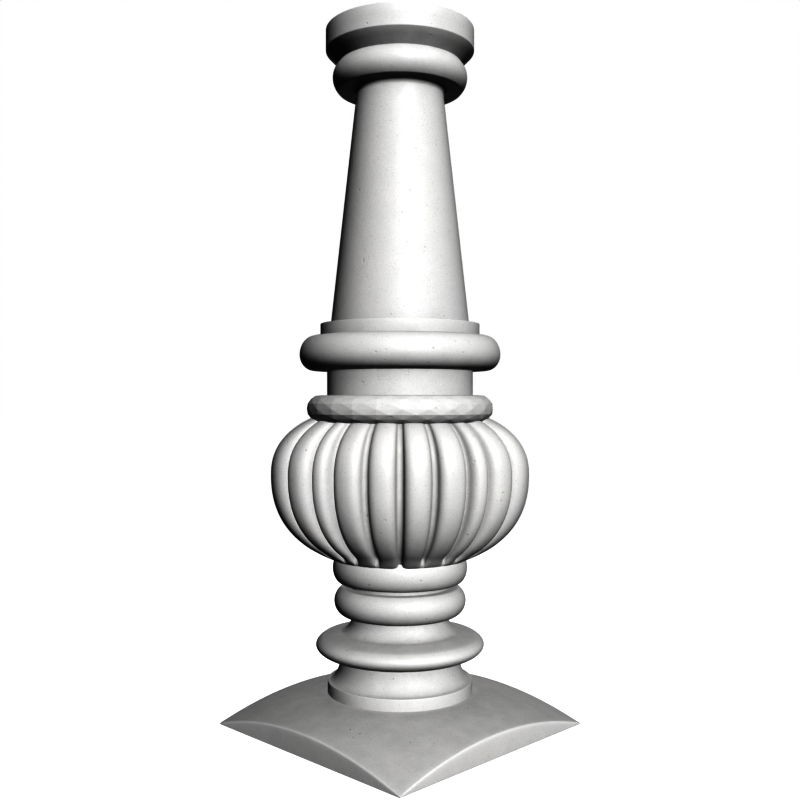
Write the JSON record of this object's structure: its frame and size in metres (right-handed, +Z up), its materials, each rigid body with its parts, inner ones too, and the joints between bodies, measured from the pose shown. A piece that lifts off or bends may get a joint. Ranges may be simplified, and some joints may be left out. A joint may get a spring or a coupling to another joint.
{
  "type": "stone baluster",
  "caption": "Carved stone baluster with a square domed plinth, lobed bulb, faceted ring, torus, tapering round shaft and flat round top, for a parapet or terrace railing.",
  "frame": {"origin": "on the vertical axis of the baluster, at the flat underside of the plinth", "axes": "+Z up along the axis, +X and +Y square to two neighbouring faces of the plinth; the bulb is widest towards the two corners at +X +Y and -X -Y"},
  "size_m": [0.258, 0.258, 0.7],
  "materials": {
    "stone": "fine-grained pale stone, honed and matt, with slightly softened edges"
  },
  "bodies": {
    "root": {"baluster": "stone"}
  },
  "joints": []
}
